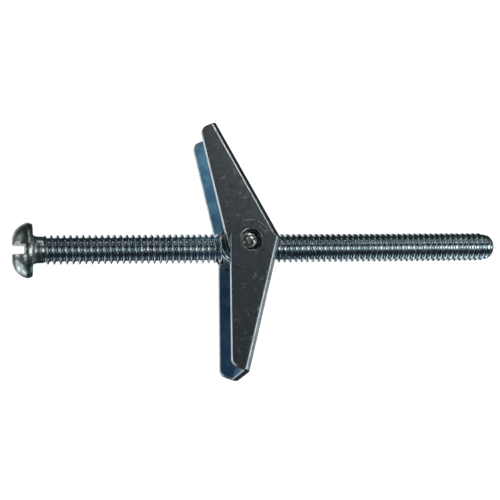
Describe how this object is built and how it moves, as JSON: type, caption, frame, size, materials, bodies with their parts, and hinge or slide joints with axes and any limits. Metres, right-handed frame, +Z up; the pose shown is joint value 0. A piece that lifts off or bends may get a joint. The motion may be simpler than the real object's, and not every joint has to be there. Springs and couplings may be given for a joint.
{
  "type": "spring toggle bolt",
  "caption": "Slotted round-head machine screw carrying a spring toggle: a trunnion nut with two folded channel wings that fold along the shank and spring open.",
  "frame": {"origin": "on the screw axis, in the plane of the bearing face under the head", "axes": "+X along the screw to its point, +Z up along the trunnion axis, wings spread along Y, the inner wing on +Y"},
  "size_m": [0.105, 0.0541, 0.0132],
  "materials": {
    "screw_zinc": "bright blue-white zinc plate",
    "nut_zinc": "bright blue-white zinc plate",
    "wing_zinc": "bright blue-white zinc plate on pressed sheet",
    "spring_wire": "drawn spring wire"
  },
  "bodies": {
    "screw": {"machine_screw": "screw_zinc"},
    "nut": {"trunnion_nut": "nut_zinc", "wing_spring": "spring_wire"},
    "outer_wing": {"outer_wing": "wing_zinc"},
    "inner_wing": {"inner_wing": "wing_zinc"}
  },
  "joints": [
    {"name": "nut_travel", "type": "slide", "parent": "screw", "child": "nut", "axis": [1, 0, 0], "range_m": [-0.01524, 0.0508]},
    {"name": "outer_wing_fold", "type": "hinge", "parent": "nut", "child": "outer_wing", "pos_m": [0.04385, 0, 0], "axis": [0, 0, -1], "range_deg": [0, 72.3], "stiffness_Nm_per_rad": 0.012, "springref_deg": -22.92, "deforming": ["wing_spring"]},
    {"name": "inner_wing_fold", "type": "hinge", "parent": "nut", "child": "inner_wing", "pos_m": [0.04385, 0, 0], "axis": [0, 0, 1], "range_deg": [0, 64.8], "stiffness_Nm_per_rad": 0.012, "springref_deg": -22.92, "deforming": ["wing_spring"]}
  ]
}
